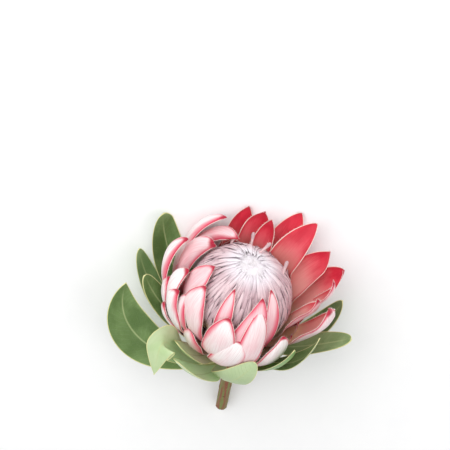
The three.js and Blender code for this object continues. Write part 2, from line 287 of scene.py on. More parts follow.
def stem_piece():
    """A grid of height and azimuth closed at the top by one face, and at the cut end by rings that
    shrink to the pith. Gives 1 for each face of the cut."""
    heights = np.linspace(STEM_TOP, -STEM_LENGTH, STEM_STATIONS)
    azimuths = np.linspace(0, 2 * math.pi, STEM_CORNERS, endpoint=False)
    height, azimuth = np.meshgrid(heights, azimuths, indexing="ij")
    radius, scars = stem_surface(height, azimuth)
    cut_radius = radius[-1] * CUT_SHARES
    blank = np.zeros_like(cut_radius)
    radius = np.concatenate([radius, cut_radius])
    height = np.concatenate([height, CUT_SUNK - STEM_LENGTH + blank])
    azimuth = np.concatenate([azimuth, azimuths + blank])
    scars = np.concatenate([scars, blank])
    faces = tube_faces(len(radius), STEM_CORNERS)
    cut = np.zeros(len(faces), int)
    cut[(STEM_STATIONS - 1) * STEM_CORNERS:] = 1
    cut[-2] = 0
    place = np.stack([azimuth * STEM_RADIUS, height, radius], -1)
    fields = {"place": place, "scar": scars, "core": radius}
    return round_axis(radius, azimuth, height), faces, fields, cut


def stem_skin():
    """Green that turns red in long streaks, pale corky dots, brown scars and fine ridges."""
    finish = Finish("stem_skin", Specular_IOR_Level=0.35)
    streaks = finish.grain(0.35, 0.03, 0.0, detail=4.0)
    cork = finish.grain(0.9, 0.5, 0.4, detail=3.0).rise(0.6, 0.72)
    colour = finish.coats(
        (122, 130, 74),
        (streaks.rise(0.38, 0.62), 139, 84, 62),
        (cork * 0.55, 176, 150, 110),
        (finish.field("scar").rise(0.15, 0.7), 104, 72, 48),
    )
    relief = finish.grain(1.6, 0.25, 0.5, detail=5.0) + cork * 0.5
    return finish.close(colour, 0.55 + 0.15 * cork, relief, 0.35)


def stem_wood():
    """Pale wood with faint rings and rays, moist green bark at its rim and a brown pith."""
    finish = Finish("stem_wood", Specular_IOR_Level=0.3)
    radius = finish.field("core")
    rays = finish.grain(1.4, 0.0, 0.15, detail=3.0)
    rings = finish.node("ShaderNodeMath", {"operation": "SINE"}, {0: radius * 7.0})
    colour = finish.coats(
        (226, 212, 168),
        (rays * 0.5 + rings * 0.12, 190, 168, 118),
        (radius.rise(6.5, 7.0), 120, 118, 66),
        (radius.rise(1.9, 1.1), 150, 118, 78),
    )
    return finish.close(colour, 0.7 + 0.1 * rays, rays + rings * 0.2, 0.25)


new_piece("cut_stem", stem_piece(), [stem_skin(), stem_wood()], "stem", "stem")


# ---------------------------------------------------------------- leaves
# Leathery leaves sit round the top of the stem, each on a short stalk. They are smooth and spoon
# shaped, deep green to sage, with a pale midrib, faint side veins and a thin cream margin.
LEAF_THICKNESS = 1.1
LEAF_STALK_RISE = 3
LEAF_SUNK = 0.9
LEAF_STATIONS = 46
LEAF_COLUMNS = 19
LEAF_WAVE = 0.7
RIB_WIDTH = 0.9
RIB_OUT, RIB_IN = 0.5, 0.28
# each leaf: the height of its seat on the stem, the azimuths of its root and its tip, the tip's
# radius and height, the angle at which it rises, its width, its roll and its tone; some have a
# sharper point, or middle corners of their own for the line that they follow
LEAVES = [
    (-26, [138, 148], [123, 100], 6, 50, -12, "deep"),
    (-48, [156, 160], [131, 60], 4, 30, -14, "sage"),
    (-22, [168, 171], [112, 50], -2, 30, -20, "deep"),
    (-50, [200, 178], [129, 46], 7, 50, -60, "deep", {"corners": [[66, -43], [141, -22]], "point": 0.8}),
    (-36, [-154, -138], [107, -6], 0, 40, -46, "pale", {"corners": [[80, -46], [98, 97]], "point": 0.8}),
    # painted light: leaves 6 and 7 lie in the head's shade and take greens paler than their own
    (-14, [-136, -138], [82, 30], -8, 36, 0, "frosty"),
    (-34, [-114, -125], [98, 29], 4, 46, 0, "frosty"),
    (-18, [-118, -71], [73, 41], -22, 34, -14, "pale"),
    (-13, [-52, -41], [84, 56], -3, 28, 0, "bright", {"point": 0.7}),
    (-19, [-31, -27], [98, 70], 3, 26, 14, "deep"),
    (-17, [-3, -8], [124, 50], 16, 32, 8, "sage"),
    (-34, [24, 16], [112, 54], -2, 30, 10, "deep"),
    (-18, [66, 62], [78, 18], -6, 32, 0, "deep"),
]
# the darker and the lighter green of each tone
LEAF_GREENS = {
    "deep": ((88, 116, 60), (116, 144, 86)),
    "sage": ((118, 146, 92), (148, 174, 120)),
    "pale": ((180, 204, 150), (202, 218, 174)),
    # painted light: greens paler than the leaves' own, for leaves that lie in the head's shade
    "frosty": ((212, 236, 180), (226, 244, 200)),
    "bright": ((92, 156, 48), (140, 190, 80)),
}


def surface_depth(height):
    """Depth of the surface under a height on the axis."""
    return (HEAD_BASE[2] + height * math.sin(HEAD_LIFT)) / math.cos(HEAD_LIFT)


EASE = 0.5


def soft_least(first, second):
    """The lesser of two numbers with the corner between them eased: less than both by at most
    the ease times the logarithm of two."""
    return -EASE * np.logaddexp(-first / EASE, -second / EASE)


def arc_line(start, end, rises, azimuths, most_swing=90.0):
    """The line along a blade, for shares t: in the plane of radius and height a cubic Bezier that
    leaves start at the angle rises and swings past its chord as much again at its end, while the
    azimuth runs evenly from one value to the other."""
    start, end = np.array(start, float), np.array(end, float)
    chord_angle = math.atan2(end[1] - start[1], end[0] - start[0])
    swing = min(chord_angle - math.radians(rises), math.radians(most_swing))
    handle = np.hypot(*(end - start)) / (3 * math.cos(swing / 2) ** 2)
    first = np.array([math.cos(chord_angle - swing), math.sin(chord_angle - swing)])
    last = np.array([math.cos(chord_angle + swing), math.sin(chord_angle + swing)])
    return bezier_line([start, start + handle * first, end - handle * last, end], azimuths)


def bezier_line(corners, azimuths):
    """The cubic Bezier line of four corners in the plane of radius and height, for shares t, on
    which the azimuth runs evenly from one value to the other."""
    corners = np.array(corners, float)

    def line(t):
        t = np.clip(t, 0, 1)
        shares = np.stack([(1 - t) ** 3, 3 * t * (1 - t) ** 2, 3 * t * t * (1 - t), t ** 3], -1)
        radius, height = (shares @ corners).T
        azimuth = np.radians(azimuths[0] + t * (azimuths[1] - azimuths[0]))
        return round_axis(radius, azimuth, height)

    return line


def unit(vectors):
    return vectors / np.linalg.norm(vectors, axis=-1, keepdims=True)


def blade_shares(stations, columns):
    """The grid's shares along a blade, closer toward its tip, and across it, closer at the margins."""
    t = 1 - (1 - np.linspace(0, 1, stations)) ** 1.5
    return t, np.sin(math.pi / 2 * np.linspace(-1, 1, columns))


def blade_fields(line, along, across, half, sheet, stretch=1.0):
    """What a finish reads on a blade: the share of the way along, the place in mm across and along
    the line, with a number that tells blades apart, and the distance to the margin or to the tip,
    whichever is less, the tip's being stretched."""
    centre = line(along[:, 0])
    length = np.cumsum(np.linalg.norm(np.diff(centre, axis=0, prepend=centre[:1]), axis=1))[:, None]
    half = half[:, None]
    place = [across * half, length + 0 * across, sheet + 0 * across]
    margin = np.minimum((1 - np.abs(across)) * half, stretch * (length[-1] - length))
    return {"along": along, "place": np.stack(place, -1), "margin": margin}


def blade_grid(line, t, u, half, cup, roll):
    """A blade bent across: at each t the place across runs by u times the half width round a
    circle of radius cup that lies on the line, turned about it by the roll at that t. Gives the
    points, the way in, the way to the side and the way along."""
    centre = line(t)
    along = unit(line(t + 0.01) - line(t - 0.01))
    aside = np.stack([-centre[:, 1], centre[:, 0], np.zeros(len(t))], -1)
    aside = unit(aside - along * np.sum(aside * along, -1, keepdims=True))
    roll = np.broadcast_to(roll, len(t))[:, None]
    aside = aside * np.cos(roll) + np.cross(along, aside) * np.sin(roll)
    inward = np.cross(along, aside)
    angle = u[None, :] * (half / cup)[:, None]
    sine, cosine = np.sin(angle)[..., None], np.cos(angle)[..., None]
    centre, along, aside, inward = (v[:, None, :] for v in (centre, along, aside, inward))
    points = centre + cup[:, None, None] * (aside * sine + inward * (1 - cosine))
    normals = inward * cosine - aside * sine
    sides = aside * cosine + inward * sine
    return points, normals, sides, np.broadcast_to(along, points.shape)


def shell(outer, inner):
    """One closed ring of points at each station: across the outer face and back over the inner."""
    return np.concatenate([outer, inner[:, ::-1]], 1)


def shell_faces(rows, columns, start=0):
    """The rings' quads, a cap at the root, a cap at the tip, and 1 for each face that is inside."""
    around = 2 * columns
    faces = ring_faces(rows, around, start)
    inside = (np.arange(around) >= columns).astype(int).tolist() * (rows - 1)
    for j in range(columns - 1):
        a, b, c, d = j, around - 1 - j, around - 2 - j, j + 1
        last = (rows - 1) * around
        faces.append([start + a, start + b, start + c, start + d])
        faces.append([start + last + a, start + last + d, start + last + c, start + last + b])
        inside += [0, 0]
    return faces, inside


def leaf_outline(t, point):
    """Half width as a share: from 0.14 at the stalk it swells as a squared sine to 1 at 0.62, and
    then closes as a parabola to a power, which is 0.5 for a round tip and 1 for a sharp one."""
    stalk, widest = 0.14, 0.62
    swell = stalk + (1 - stalk) * np.sin(math.pi / 2 * np.clip(t / widest, 0, 1)) ** 2
    close = np.clip(1 - ((t - widest) / (1 - widest)) ** 2, 0.0, 1) ** point
    return np.where(t < widest, swell, np.maximum(0.04, close))


def leaf_piece(number, seat, azimuths, tip, rises, width, roll, corners=None, point=0.5):
    """A blade on its arc with a wavy edge, a ribbed middle and margins thinned to a third, or on a
    line of its own corners. Nothing of it goes below the surface."""
    lean = LEAF_THICKNESS * math.sin(math.radians(max(0, rises)))
    start = [stem_radius(min(seat + LEAF_STALK_RISE, STEM_TOP)) + lean - LEAF_SUNK, seat]
    if corners:
        line = bezier_line([start, *corners, tip], azimuths)
    else:
        line = arc_line(start, tip, rises, azimuths)
    t, u = blade_shares(LEAF_STATIONS, LEAF_COLUMNS)
    half = width / 2 * leaf_outline(t, point)
    cup = np.full(len(t), width * 1.1)
    roll = math.radians(roll) * smooth(t, 0.0, 0.6)
    points, normals, _, _ = blade_grid(line, t, u, half, cup, roll)
    along, across = np.meshgrid(t, u, indexing="ij")
    open_part = smooth(along, 0.2, 0.6)
    phase = 2 * math.pi * draw(number, 21)
    wave = LEAF_WAVE * np.sin(2 * math.pi * 1.6 * along + phase) * across * np.abs(across) * open_part
    rib = np.exp(-(across * half[:, None] / RIB_WIDTH) ** 2) * (1 - smooth(along, 0.55, 1.0))
    thickness = LEAF_THICKNESS * (1 - 0.65 * np.abs(across) ** 5)
    outer = points + normals * (wave - RIB_OUT * rib)[..., None]
    inner = points + normals * (wave + thickness - RIB_IN * rib)[..., None]
    for face, depth in ((outer, 0.0), (inner, LEAF_THICKNESS)):
        face[..., 1] = soft_least(face[..., 1], surface_depth(face[..., 2]) - depth)
    fields = blade_fields(line, along, across, half, 9.0 * number)
    faces, inside = shell_faces(len(t), len(u))
    return shell(outer, inner), faces, {key: shell(v, v) for key, v in fields.items()}, inside


def leaf_skin(tone, under):
    """Waxy green that clouds and pales a little, side veins every 6 mm that run up and out from
    the midrib and join in a net, and a cream margin under 1 mm wide."""
    finish = Finish(f"leaf_{tone}_{'under' if under else 'upper'}", Specular_IOR_Level=0.45)
    deep, light = LEAF_GREENS[tone]
    along = finish.field("along")
    spread = finish.node("ShaderNodeSeparateXYZ", {}, {0: finish.place(1, 1, 1)})
    length = Wire(finish, spread.socket.node.outputs[1])
    aside = finish.node("ShaderNodeMath", {"operation": "ABSOLUTE"}, {0: spread})
    wander = finish.grain(0.08, 0.08, 1.0)
    phase = (length - 0.85 * aside) / 6.0 + wander * 1.2
    saw = finish.node("ShaderNodeMath", {"operation": "PINGPONG"}, {0: phase, 1: 0.5})
    side_vein = saw.rise(0.09, 0.0)
    net = finish.node(
        "ShaderNodeTexVoronoi", {"feature": "DISTANCE_TO_EDGE"},
        {"Vector": finish.place(0.55, 0.45, 1.0), "Scale": 1.0},
    ).rise(0.07, 0.0)
    midrib = aside.rise(1.3, 0.35) * along.rise(1.0, 0.82)
    cloud = finish.grain(0.045, 0.03, 1.0, detail=3.0).rise(0.35, 0.68)
    colour = finish.coats(
        deep,
        (cloud, *light),
        (0.4 if under else 0.0, 172, 194, 150),
        (side_vein * cloud * 0.16 + net * 0.06, 184, 204, 152),
        (midrib * 0.55, 190, 202, 146),
        (along.rise(0.2, 0.02) * 0.8, 186, 180, 116),
        (finish.field("margin").rise(0.95, 0.5), 224, 222, 160),
    )
    pores = finish.grain(2.2, 2.2, 1.0)
    relief = side_vein * (1.0 if under else -0.6) + net * 0.25 + pores * 0.35
    return finish.close(colour, 0.4 + 0.14 * cloud, relief, 0.22)


leaf_skins = {tone: [leaf_skin(tone, True), leaf_skin(tone, False)] for tone in LEAF_GREENS}
for number, (*leaf, tone, own) in enumerate([(*row, {})[:8] for row in LEAVES], 1):
    blade = leaf_piece(number, *leaf, **own)
    new_piece(f"leaf_blade_{number:02d}", blade, leaf_skins[tone], "leaf", f"leaf_{number:02d}")


# ---------------------------------------------------------------- bracts
# The head's coloured scales are leathery bracts, in six rows that grow from a woody receptacle.
# Outside they are silvery white and downy, with a crimson line inside a pale hairy margin; inside
# they are satin red, paler down the middle and olive at the root.
DOME_RADIUS = 55
DOME_CENTRE = np.array([-4.0, 0.0, 64.0])
BRACT_THICKNESS = 1.0
BRACT_WIDTH_SPREAD = 0.08
USUAL_WIDTH = 36
BRACT_ROLL = 5
DOME_CLEARANCE = 4.2
LAYER_STEP = 1.6
FREE_SWING = 60
PRESSED_SWING = 9
LAYERS_END = (92, 118)
MOST_IN_ROW = 20
TIP_CUP = 0.75
BRACT_STATIONS = 38
SCALE_STATIONS = 18
BRACT_COLUMNS = 17
BRACT_WAVES = (0.8, 0.6)
BRACT_KEEL = 0.5
MARGIN_TURN = 1.2
BRACT_CURL = (1.5, 3.0)
# each row: the ring on the receptacle, the angle at which its bracts leave it, and for each bract
# the tip's azimuth, radius and height and its width; some lean away from their root's azimuth, are
# rolled about their own line, leave the ring at another angle, swing further in, have a hooked tip,
# a margin tucked in by some mm or a blush of their own
BRACT_ROWS = [
    ([22, -3], -12, [
        [-108, 43, 8, 24], [-66, 43, 8, 24], [-24, 50, 4, 24], [16, 57, 6, 24], [58, 45, 4, 24],
        [98, 39, 2, 24], [138, 49, 2, 24], [176, 54, -3, 24], [-160, 52, -3, 22]]),
    ([34, -1], 4, [
        [-85, 70, 68, 38, {"root": -108, "rises": 14}],
        [-43, 71, 65, 34, {"root": -58, "rises": 16}], [-8, 62, 26, 32], [28, 84, 54, 38],
        [62, 68, 54, 30], [97, 62, 52, 30], [132, 68, 54, 32],
        [176, 86, 67, 38, {"rises": -10, "roll": 15}],
        [-169, 88, 48, 30, {"rises": -4, "roll": 10}], [-140, 66, 44, 36, {"rises": 2}]]),
    ([33.5, 2.5], 14, [
        [-102, 63, 92, 38, {"root": -112, "rises": 22}],
        [-69, 52, 103, 30, {"root": -86, "rises": 20, "rosy": 0.4}], [-28, 62, 34, 32],
        [6, 66, 36, 34], [44, 84, 76, 36], [80, 74, 87, 30], [115, 74, 86, 30],
        [126, 62, 131, 42, {"root": 182, "rises": 5, "swing": 68, "roll": 22}],
        [163, 77, 115, 30, {"root": 174, "rises": 2, "swing": 66, "roll": 22}],
        [-164, 77, 78, 38, {"rises": 4, "roll": 8, "rosy": 0.0}]]),
    ([32.5, 6], 26, [
        [-143, 56, 105, 44], [-64, 44, 110, 36, {"root": -108, "rosy": 1.0}],
        [-22, 105, 105, 46, {"root": -8, "roll": -7, "hook": 3}],
        [17, 109, 101, 40, {"root": 29, "rises": 44, "roll": 14}],
        [62, 97, 123, 44, {"root": 80, "rises": 50, "roll": 8}],
        [99, 86, 119, 40, {"root": 124}],
        [120, 38, 122, 36, {
            "root": 190, "rises": 4, "swing": 82, "roll": 12, "hook": 4, "rosy": 0.9, "tuck": 6}],
        [-176, 67, 96, 38, {"rises": 2, "swing": 67, "roll": 12, "rosy": 0.05}], [-96, 58, 78, 26],
        [-157, 68, 80, 34, {"rises": 10}]]),
    ([31, 9], 38, [
        [-108, 38, 111, 20], [-46, 37, 111, 21, {"root": -74}],
        [1, 99, 105, 34, {"root": 14, "roll": -22, "hook": 7}],
        [28, 102, 106, 40, {"root": 44, "rises": 62, "roll": 10, "hook": 8}],
        [47, 94, 127, 37, {"root": 64, "rises": 74, "roll": 6}],
        [86, 78, 128, 40, {"root": 106, "hook": 4}], [115, 56, 100, 24],
        [156, 49, 120, 42, {"root": 168, "rises": 6, "swing": 72, "roll": 20, "tuck": 6}],
        [-160, 37, 113, 46, {"root": -166, "rises": 20, "swing": 62, "hook": 4}],
        [-178, 54, 84, 34, {"rises": 24}]]),
    ([29.5, 12], 50, [
        [-17, 88, 101, 36, {"root": -6, "roll": -4, "hook": 5}],
        [77, 72, 124, 30, {"root": 94, "hook": 8}]]),
]
# how rosy the outer face is in each row, where a bract has no blush of its own
ROW_BLUSH = (0.1, 0.1, 0.2, 0.5, 0.9, 0.95)


def bract_outline(t, point):
    """Half width as a share: from 0.5 at the root it grows as a sine to 1 at 0.6, and then closes
    as a parabola to a power, which is 0.5 for a round tip and 1 for a sharp one."""
    root, widest = 0.5, 0.6
    grow = root + (1 - root) * np.sin(math.pi / 2 * np.clip(t / widest, 0, 1))
    fall = np.clip((t - widest) / (1 - widest), 0, 1)
    return grow * np.maximum(0.02, (1 - fall ** 2) ** point)


def kept_clear(points, depth, row):
    """Points inside the sphere that this row has to clear go out to it from its centre, and none
    goes below the surface less what the rows under it take up."""
    least = DOME_RADIUS + DOME_CLEARANCE + LAYER_STEP * (len(BRACT_ROWS) - 1 - row)
    least = least + BRACT_THICKNESS - depth
    off = points - DOME_CENTRE
    away = np.linalg.norm(off, axis=-1, keepdims=True)
    points = DOME_CENTRE + off * (-soft_least(-away, -least) / away)
    apart = LAYER_STEP * max(0, row - 1) * (1 - smooth(points[..., 2], *LAYERS_END))
    points[..., 1] = soft_least(points[..., 1], surface_depth(points[..., 2]) - depth - apart)
    return points


def bract(row, number, tip):
    """A blade on its arc, moved across its thickness by the sum of a gentle wave, a keel outside,
    margins that turn in, a tip that curls in and one margin's tuck, and thinner at the margins and
    the tip. Gives its two faces, its fields and the lines of its margins for the fringe."""
    (ring, rises, _), (azimuth, radius, height, width, *own) = BRACT_ROWS[row], tip
    own = {
        "root": azimuth, "rises": rises, "swing": None, "roll": 0, "hook": 0, "tuck": 0, "rosy": None,
        **dict(*own),
    }
    spread = (width / 2) * (1 + BRACT_WIDTH_SPREAD * (2 * draw(number, 1) - 1))
    pressed = smooth(math.sin(math.radians(azimuth)), 0.3, 0.85)
    swing = own["swing"] or FREE_SWING + pressed * (PRESSED_SWING - FREE_SWING)
    line = arc_line(ring, [radius, height], own["rises"], [own["root"], azimuth], swing)
    t, u = blade_shares(BRACT_STATIONS if row else SCALE_STATIONS, BRACT_COLUMNS)
    half = spread * bract_outline(t, 0.6 + 0.2 * draw(number, 9))
    cup = ring[0] + t * (width * TIP_CUP - ring[0])
    roll = math.radians(own["roll"] + BRACT_ROLL * (2 * draw(number, 2) - 1))
    points, normals, sides, ways = blade_grid(line, t, u, half, cup, roll)
    along, across = np.meshgrid(t, u, indexing="ij")
    bulk = width / USUAL_WIDTH
    wave = BRACT_WAVES[0] * np.sin(2 * math.pi * (1.1 * along + draw(number, 4))) * across
    wave += BRACT_WAVES[1] * np.sin(2 * math.pi * (2.2 * along + draw(number, 5))) * across ** 2
    keel = np.exp(-(across / 0.2) ** 2) * np.sin(math.pi * along)
    turned_in = smooth(np.abs(across), 0.55, 1.0) * smooth(along, 0.25, 0.7)
    turned_in = turned_in * (MARGIN_TURN + draw(number, 6))
    curl = BRACT_CURL[0] + BRACT_CURL[1] * draw(number, 7) + own["hook"]
    curl = curl * np.clip((along - 0.82) / 0.18, 0, 1) ** 2
    tucked = own["tuck"] * smooth(across, 0.3, 1.1) * smooth(along, 0.15, 0.5)
    shift = bulk * (wave * smooth(along, 0.1, 0.5) - BRACT_KEEL * keel + turned_in + curl) + tucked
    thickness = BRACT_THICKNESS * (1 - 0.6 * np.abs(across) ** 6) * (1 - 0.4 * along)
    outer = kept_clear(points + normals * shift[..., None], 0.0, row)
    inner = kept_clear(points + normals * (shift + thickness)[..., None], BRACT_THICKNESS, row)
    inner = outer + unit(inner - outer) * thickness[..., None]
    facing = smooth(math.cos(math.radians(azimuth - 45)), -0.5, 0.5)
    blush = ROW_BLUSH[row] * (0.7 + 0.4 * draw(number, 10))
    even = {
        "flush": 0.4 + 0.45 * facing + 0.15 * draw(number, 8),
        "ruddy": smooth(azimuth, 25.0, 55.0),
        "rosy": blush if own["rosy"] is None else own["rosy"],
    }
    fields = blade_fields(line, along, across, half, 7.0 * number, 1.2)
    fields.update({key: np.full(across.shape, value) for key, value in even.items()})
    rims = [(outer[:, k] + inner[:, k]) / 2 for k in (0, -1)]
    outs = [unit(sides[:, k] * sign + 0.35 * normals[:, k]) for k, sign in ((0, -1), (-1, 1))]
    fringe = np.stack([np.stack(rims), np.stack(outs), np.stack([ways[:, 0], ways[:, -1]])])
    return outer, inner, fields, fringe


def joined(shells):
    """Several shells of one size as one mesh: points, faces, fields and the inside faces, one
    shell after another."""
    rows, columns = shells[0][0].shape[:2]
    points, faces, inside, fields = [], [], [], {}
    for k, (outer, inner, held) in enumerate(shells):
        more, more_inside = shell_faces(rows, columns, k * rows * 2 * columns)
        faces += more
        inside += more_inside
        points.append(shell(outer, inner))
        for key, values in held.items():
            fields.setdefault(key, []).append(shell(values, values))
    return points, faces, fields, inside


def bract_outside():
    """Silvery white down over pink: a pink band of changing width along each edge that ends in a
    crimson line under a thin cream margin, blush at the root, long fine streaks and a dark tip."""
    finish = Finish("bract_outside", Specular_IOR_Level=0.3, Sheen_Weight=0.2, Sheen_Roughness=0.4)
    along, margin, rosy = (finish.field(name) for name in ("along", "margin", "rosy"))
    streaks = finish.grain(1.3, 0.035, 1.0, detail=4.0)
    cloud = finish.grain(0.07, 0.03, 1.0, detail=3.0)
    swell = finish.grain(0.045, 0.012, 1.3).rise(0.35, 0.72)
    wide = (2.8 + 9.0 * swell) * (1.7 - 0.9 * along)
    blush = cloud.rise(0.4, 0.75) * 0.25 + rosy * 0.8
    colour = finish.coats(
        (250, 246, 245),
        (streaks.rise(0.35, 0.7), 234, 222, 222),
        (blush * (0.6 + 0.4 * streaks) * along.rise(1.5, 0.5), 236, 128, 146),
        ((margin / wide).rise(1.0, 0.1) * (0.8 + 0.35 * streaks), 226, 80, 108),
        (along.rise(0.55, 0.15) * 0.85, 218, 76, 98),
        (margin.rise(2.6, 1.1) * (0.85 - 0.55 * rosy), 200, 40, 70),
        (margin.rise(0.7, 0.3), 248, 222, 216),
        (along.rise(0.95, 0.985), 180, 36, 62),
    )
    relief = streaks + 0.6 * finish.grain(0.5, 0.06, 1.0)
    return finish.close(colour, 0.62 - 0.12 * streaks, relief, 0.22)


def bract_inside():
    """Satin red at the tip and the edges, pink and cream down the middle, duller on the bracts behind
    the dome, olive tan at the root, under a cream margin. Painted light: the middle of the bracts in
    front of the dome, which lie in its shade, is a pale pink lighter than their own colour, and the
    olive tan at the root is lighter than its own colour, against the shade at the roots."""
    finish = Finish("bract_inside", Specular_IOR_Level=0.4, Sheen_Weight=0.1)
    along, margin, flush, ruddy = (
        finish.field(name) for name in ("along", "margin", "flush", "ruddy")
    )
    streaks = finish.grain(1.1, 0.03, 1.0, detail=4.0)
    cloud = finish.grain(0.06, 0.03, 1.0, detail=3.0)
    # painted light: in front of the dome, where its shade falls, the bracts take a pale pink lighter
    # than their own colour; behind it a dull red
    far_dull_near_painted_light = finish.coats((250, 178, 170), (ruddy, 190, 100, 92))
    red = finish.coats((228, 48, 72), (cloud.rise(0.3, 0.7), 204, 26, 54))
    tip = (along + 0.3 * (cloud - 0.5) + 0.12 * (streaks - 0.5)).rise(0.62, 0.9)
    edge = margin.rise(6.0, 1.2) * along.rise(0.2, 0.5)
    either = 1 - (1 - tip) * (1 - edge * 0.7)
    colour = finish.coats(
        (242, 184, 172),
        (streaks.rise(0.3, 0.7), 232, 150, 148),
        (ruddy * 0.8, 208, 112, 106),
        (along.rise(0.5, 0.78) * 0.7, 236, 92, 108),
        (along.rise(0.72, 0.45) * flush, far_dull_near_painted_light),
        # painted light: the root's olive tan is lighter than its own colour, against the shade at the
        # roots
        (along.rise(0.45, 0.22), 244, 222, 178),
        (either * (0.4 + 0.6 * flush), red),
        (margin.rise(1.1, 0.5), 252, 230, 218),
    )
    relief = streaks + 0.5 * finish.grain(0.4, 0.05, 1.0)
    return finish.close(colour, 0.5 - 0.1 * streaks, relief, 0.2)


def scale_outside():
    """The lowest scales are brown and papery, with a silvery edge."""
    finish = Finish("scale_outside", Specular_IOR_Level=0.3, Sheen_Weight=0.2)
    streaks = finish.grain(1.2, 0.05, 1.0, detail=4.0)
    colour = finish.coats(
        (206, 158, 130),
        (streaks, 176, 112, 92),
        (finish.field("along").rise(0.55, 0.95) * 0.7, 226, 166, 160),
        (finish.field("margin").rise(1.2, 0.3), 236, 212, 190),
    )
    return finish.close(colour, 0.65 - 0.1 * streaks, streaks, 0.2)


bract_finishes = [bract_outside(), bract_inside()]
scale_finishes = [scale_outside(), bract_finishes[1]]
fringe_lines = []
for row, (_, _, tips) in enumerate(BRACT_ROWS):
    made = [bract(row, MOST_IN_ROW * row + k, tip) for k, tip in enumerate(tips)]
    fringe_lines += [fringe for *_, fringe in made] if row else []
    new_piece(
        f"bract_row_{row}" if row else "basal_scales", joined([shape[:3] for shape in made]),
        bract_finishes if row else scale_finishes, "bract", "bracts",
    )


# ---------------------------------------------------------------- fringe
# The bracts' margins are edged with short straight hairs, white and silky, that stand out from
# the edge and lean to the tip.
HAIRS_ON_A_MARGIN = 130
HAIR_LENGTH = 1.7
HAIR_RADIUS = 0.11
HAIR_LEAN = 0.7
HAIR_SPREAD = 0.35
chance = np.random.default_rng(11)


def needles(roots, tips, radius):
    """Three-sided needles: three points a radius off each root, square to the way to its tip, and
    the tip itself."""
    way = unit(tips - roots)
    other = np.where(np.abs(way[:, 2:]) < 0.9, [[0.0, 0.0, 1.0]], [[1.0, 0.0, 0.0]])
    first = unit(np.cross(other, way))
    second = np.cross(way, first)
    thirds = np.arange(3) * 2 * math.pi / 3
    off = first[:, None] * np.cos(thirds)[:, None] + second[:, None] * np.sin(thirds)[:, None]
    radius = np.broadcast_to(radius, len(roots))[:, None, None]
    points = np.concatenate([roots[:, None] + off * radius, tips[:, None]], 1)
    corners = np.array([[0, 1, 3], [1, 2, 3], [2, 0, 3], [0, 2, 1]])
    faces = (4 * np.arange(len(roots))[:, None, None] + corners).reshape(-1, 3)
    return points, faces.tolist(), {}


def fringe_hairs():
    """On each margin, hairs at random shares of the way from a quarter up to the tip: each leaves
    the edge outward, leaning along the bract, with a random spread."""
    roots, tips = [], []
    for rims, outs, ways in fringe_lines:
        for rim, out, way in zip(rims, outs, ways):
            share = np.sort(0.25 + 0.74 * chance.random(HAIRS_ON_A_MARGIN))
            share = share * (len(rim) - 1)
            low = np.floor(share).astype(int)
            part = (share - low)[:, None]
            root, aside, along = (v[low] * (1 - part) + v[low + 1] * part for v in (rim, out, way))
            stray = HAIR_SPREAD * chance.standard_normal(root.shape)
            lean = unit(aside + HAIR_LEAN * along + stray)
            length = HAIR_LENGTH * (0.5 + 0.7 * chance.random((len(root), 1)))
            roots.append(root - 0.15 * aside)
            tips.append(root + lean * length)
    return np.concatenate(roots), np.concatenate(tips)


def hair_finish(name, *tint):
    """Fine hair: near white, with a little of a tint that varies from place to place."""
    finish = Finish(name, Specular_IOR_Level=0.5, Sheen_Weight=0.3)
    cloud = finish.speckle(90.0)
    colour = finish.coats((255, 248, 242), (cloud.rise(0.3, 0.8), *tint))
    return finish.close(colour, 0.4 + 0.2 * cloud)


fringe_roots, fringe_tips = fringe_hairs()
fringe_tips[:, 1] = np.minimum(fringe_tips[:, 1], surface_depth(fringe_tips[:, 2]) - 0.2)
new_piece(
    "bract_fringe", needles(fringe_roots, fringe_tips, HAIR_RADIUS),
    [hair_finish("fringe_hair", 246, 206, 200)], "bract", "bracts",
)


# ---------------------------------------------------------------- receptacle
# The woody disc that carries the bracts: a turned form, brown and downy, which shows only from
# behind, between the stem and the lowest scales.
RECEPTACLE_OUTLINE = [
    [0, -2], [11, -2.1], [18, -3.4], [25, -5], [31, -4.4], [35.4, -2.6], [36.8, 1], [36, 5],
    [34, 11], [31.5, 14], [0, 14],
]
TURNED_CORNERS = 72


def turned(outline):
    """A profile of radius and height turned round the axis, with a face at each pole."""
    outline = np.array(outline, float)
    outline[[0, -1], 0] = 0.05
    azimuth = np.linspace(0, 2 * math.pi, TURNED_CORNERS, endpoint=False)
    points = round_axis(outline[:, :1], azimuth, outline[:, 1:])
    return points, tube_faces(len(outline), TURNED_CORNERS), {}


def receptacle_bark():
    """Brown and olive bark with short down."""
    finish = Finish("receptacle_bark", Specular_IOR_Level=0.3)
    patches, down = finish.speckle(160.0, 4.0), finish.speckle(900.0)
    colour = finish.coats(
        (132, 104, 66),
        (patches.rise(0.35, 0.65), 160, 140, 92),
        (down.rise(0.5, 0.75) * 0.5, 204, 190, 160),
    )
    return finish.close(colour, 0.75 - 0.1 * patches, patches + 0.5 * down, 0.4)


new_piece("receptacle", turned(RECEPTACLE_OUTLINE), [receptacle_bark()], "bract", "bracts")


# ---------------------------------------------------------------- florets
# The middle is a dome of hundreds of closed florets packed side by side. Each is a silky tube whose
# free end lies on the dome and points to its apex: lilac pink, with painted shade in the gaps between
# them near the rim, and white where all the ends meet. A core painted dark, as painted shade, closes
# the gaps between them.
CORE_RADIUS = DOME_RADIUS - 2.2
CORE_FOOT = 14.3
CORE_FOOT_RADIUS = 24
FLORET_COUNT = 330
FLORET_LENGTH = 44
FLORET_WIDTH = 6.4
GOLDEN_ANGLE = math.radians(137.508)
APEX_LEAN = (0.095, -0.045)
# the cosines of the polar angles of the lowest and the highest root
LOWEST_ROOT = -0.56
HIGHEST_ROOT = 0.93
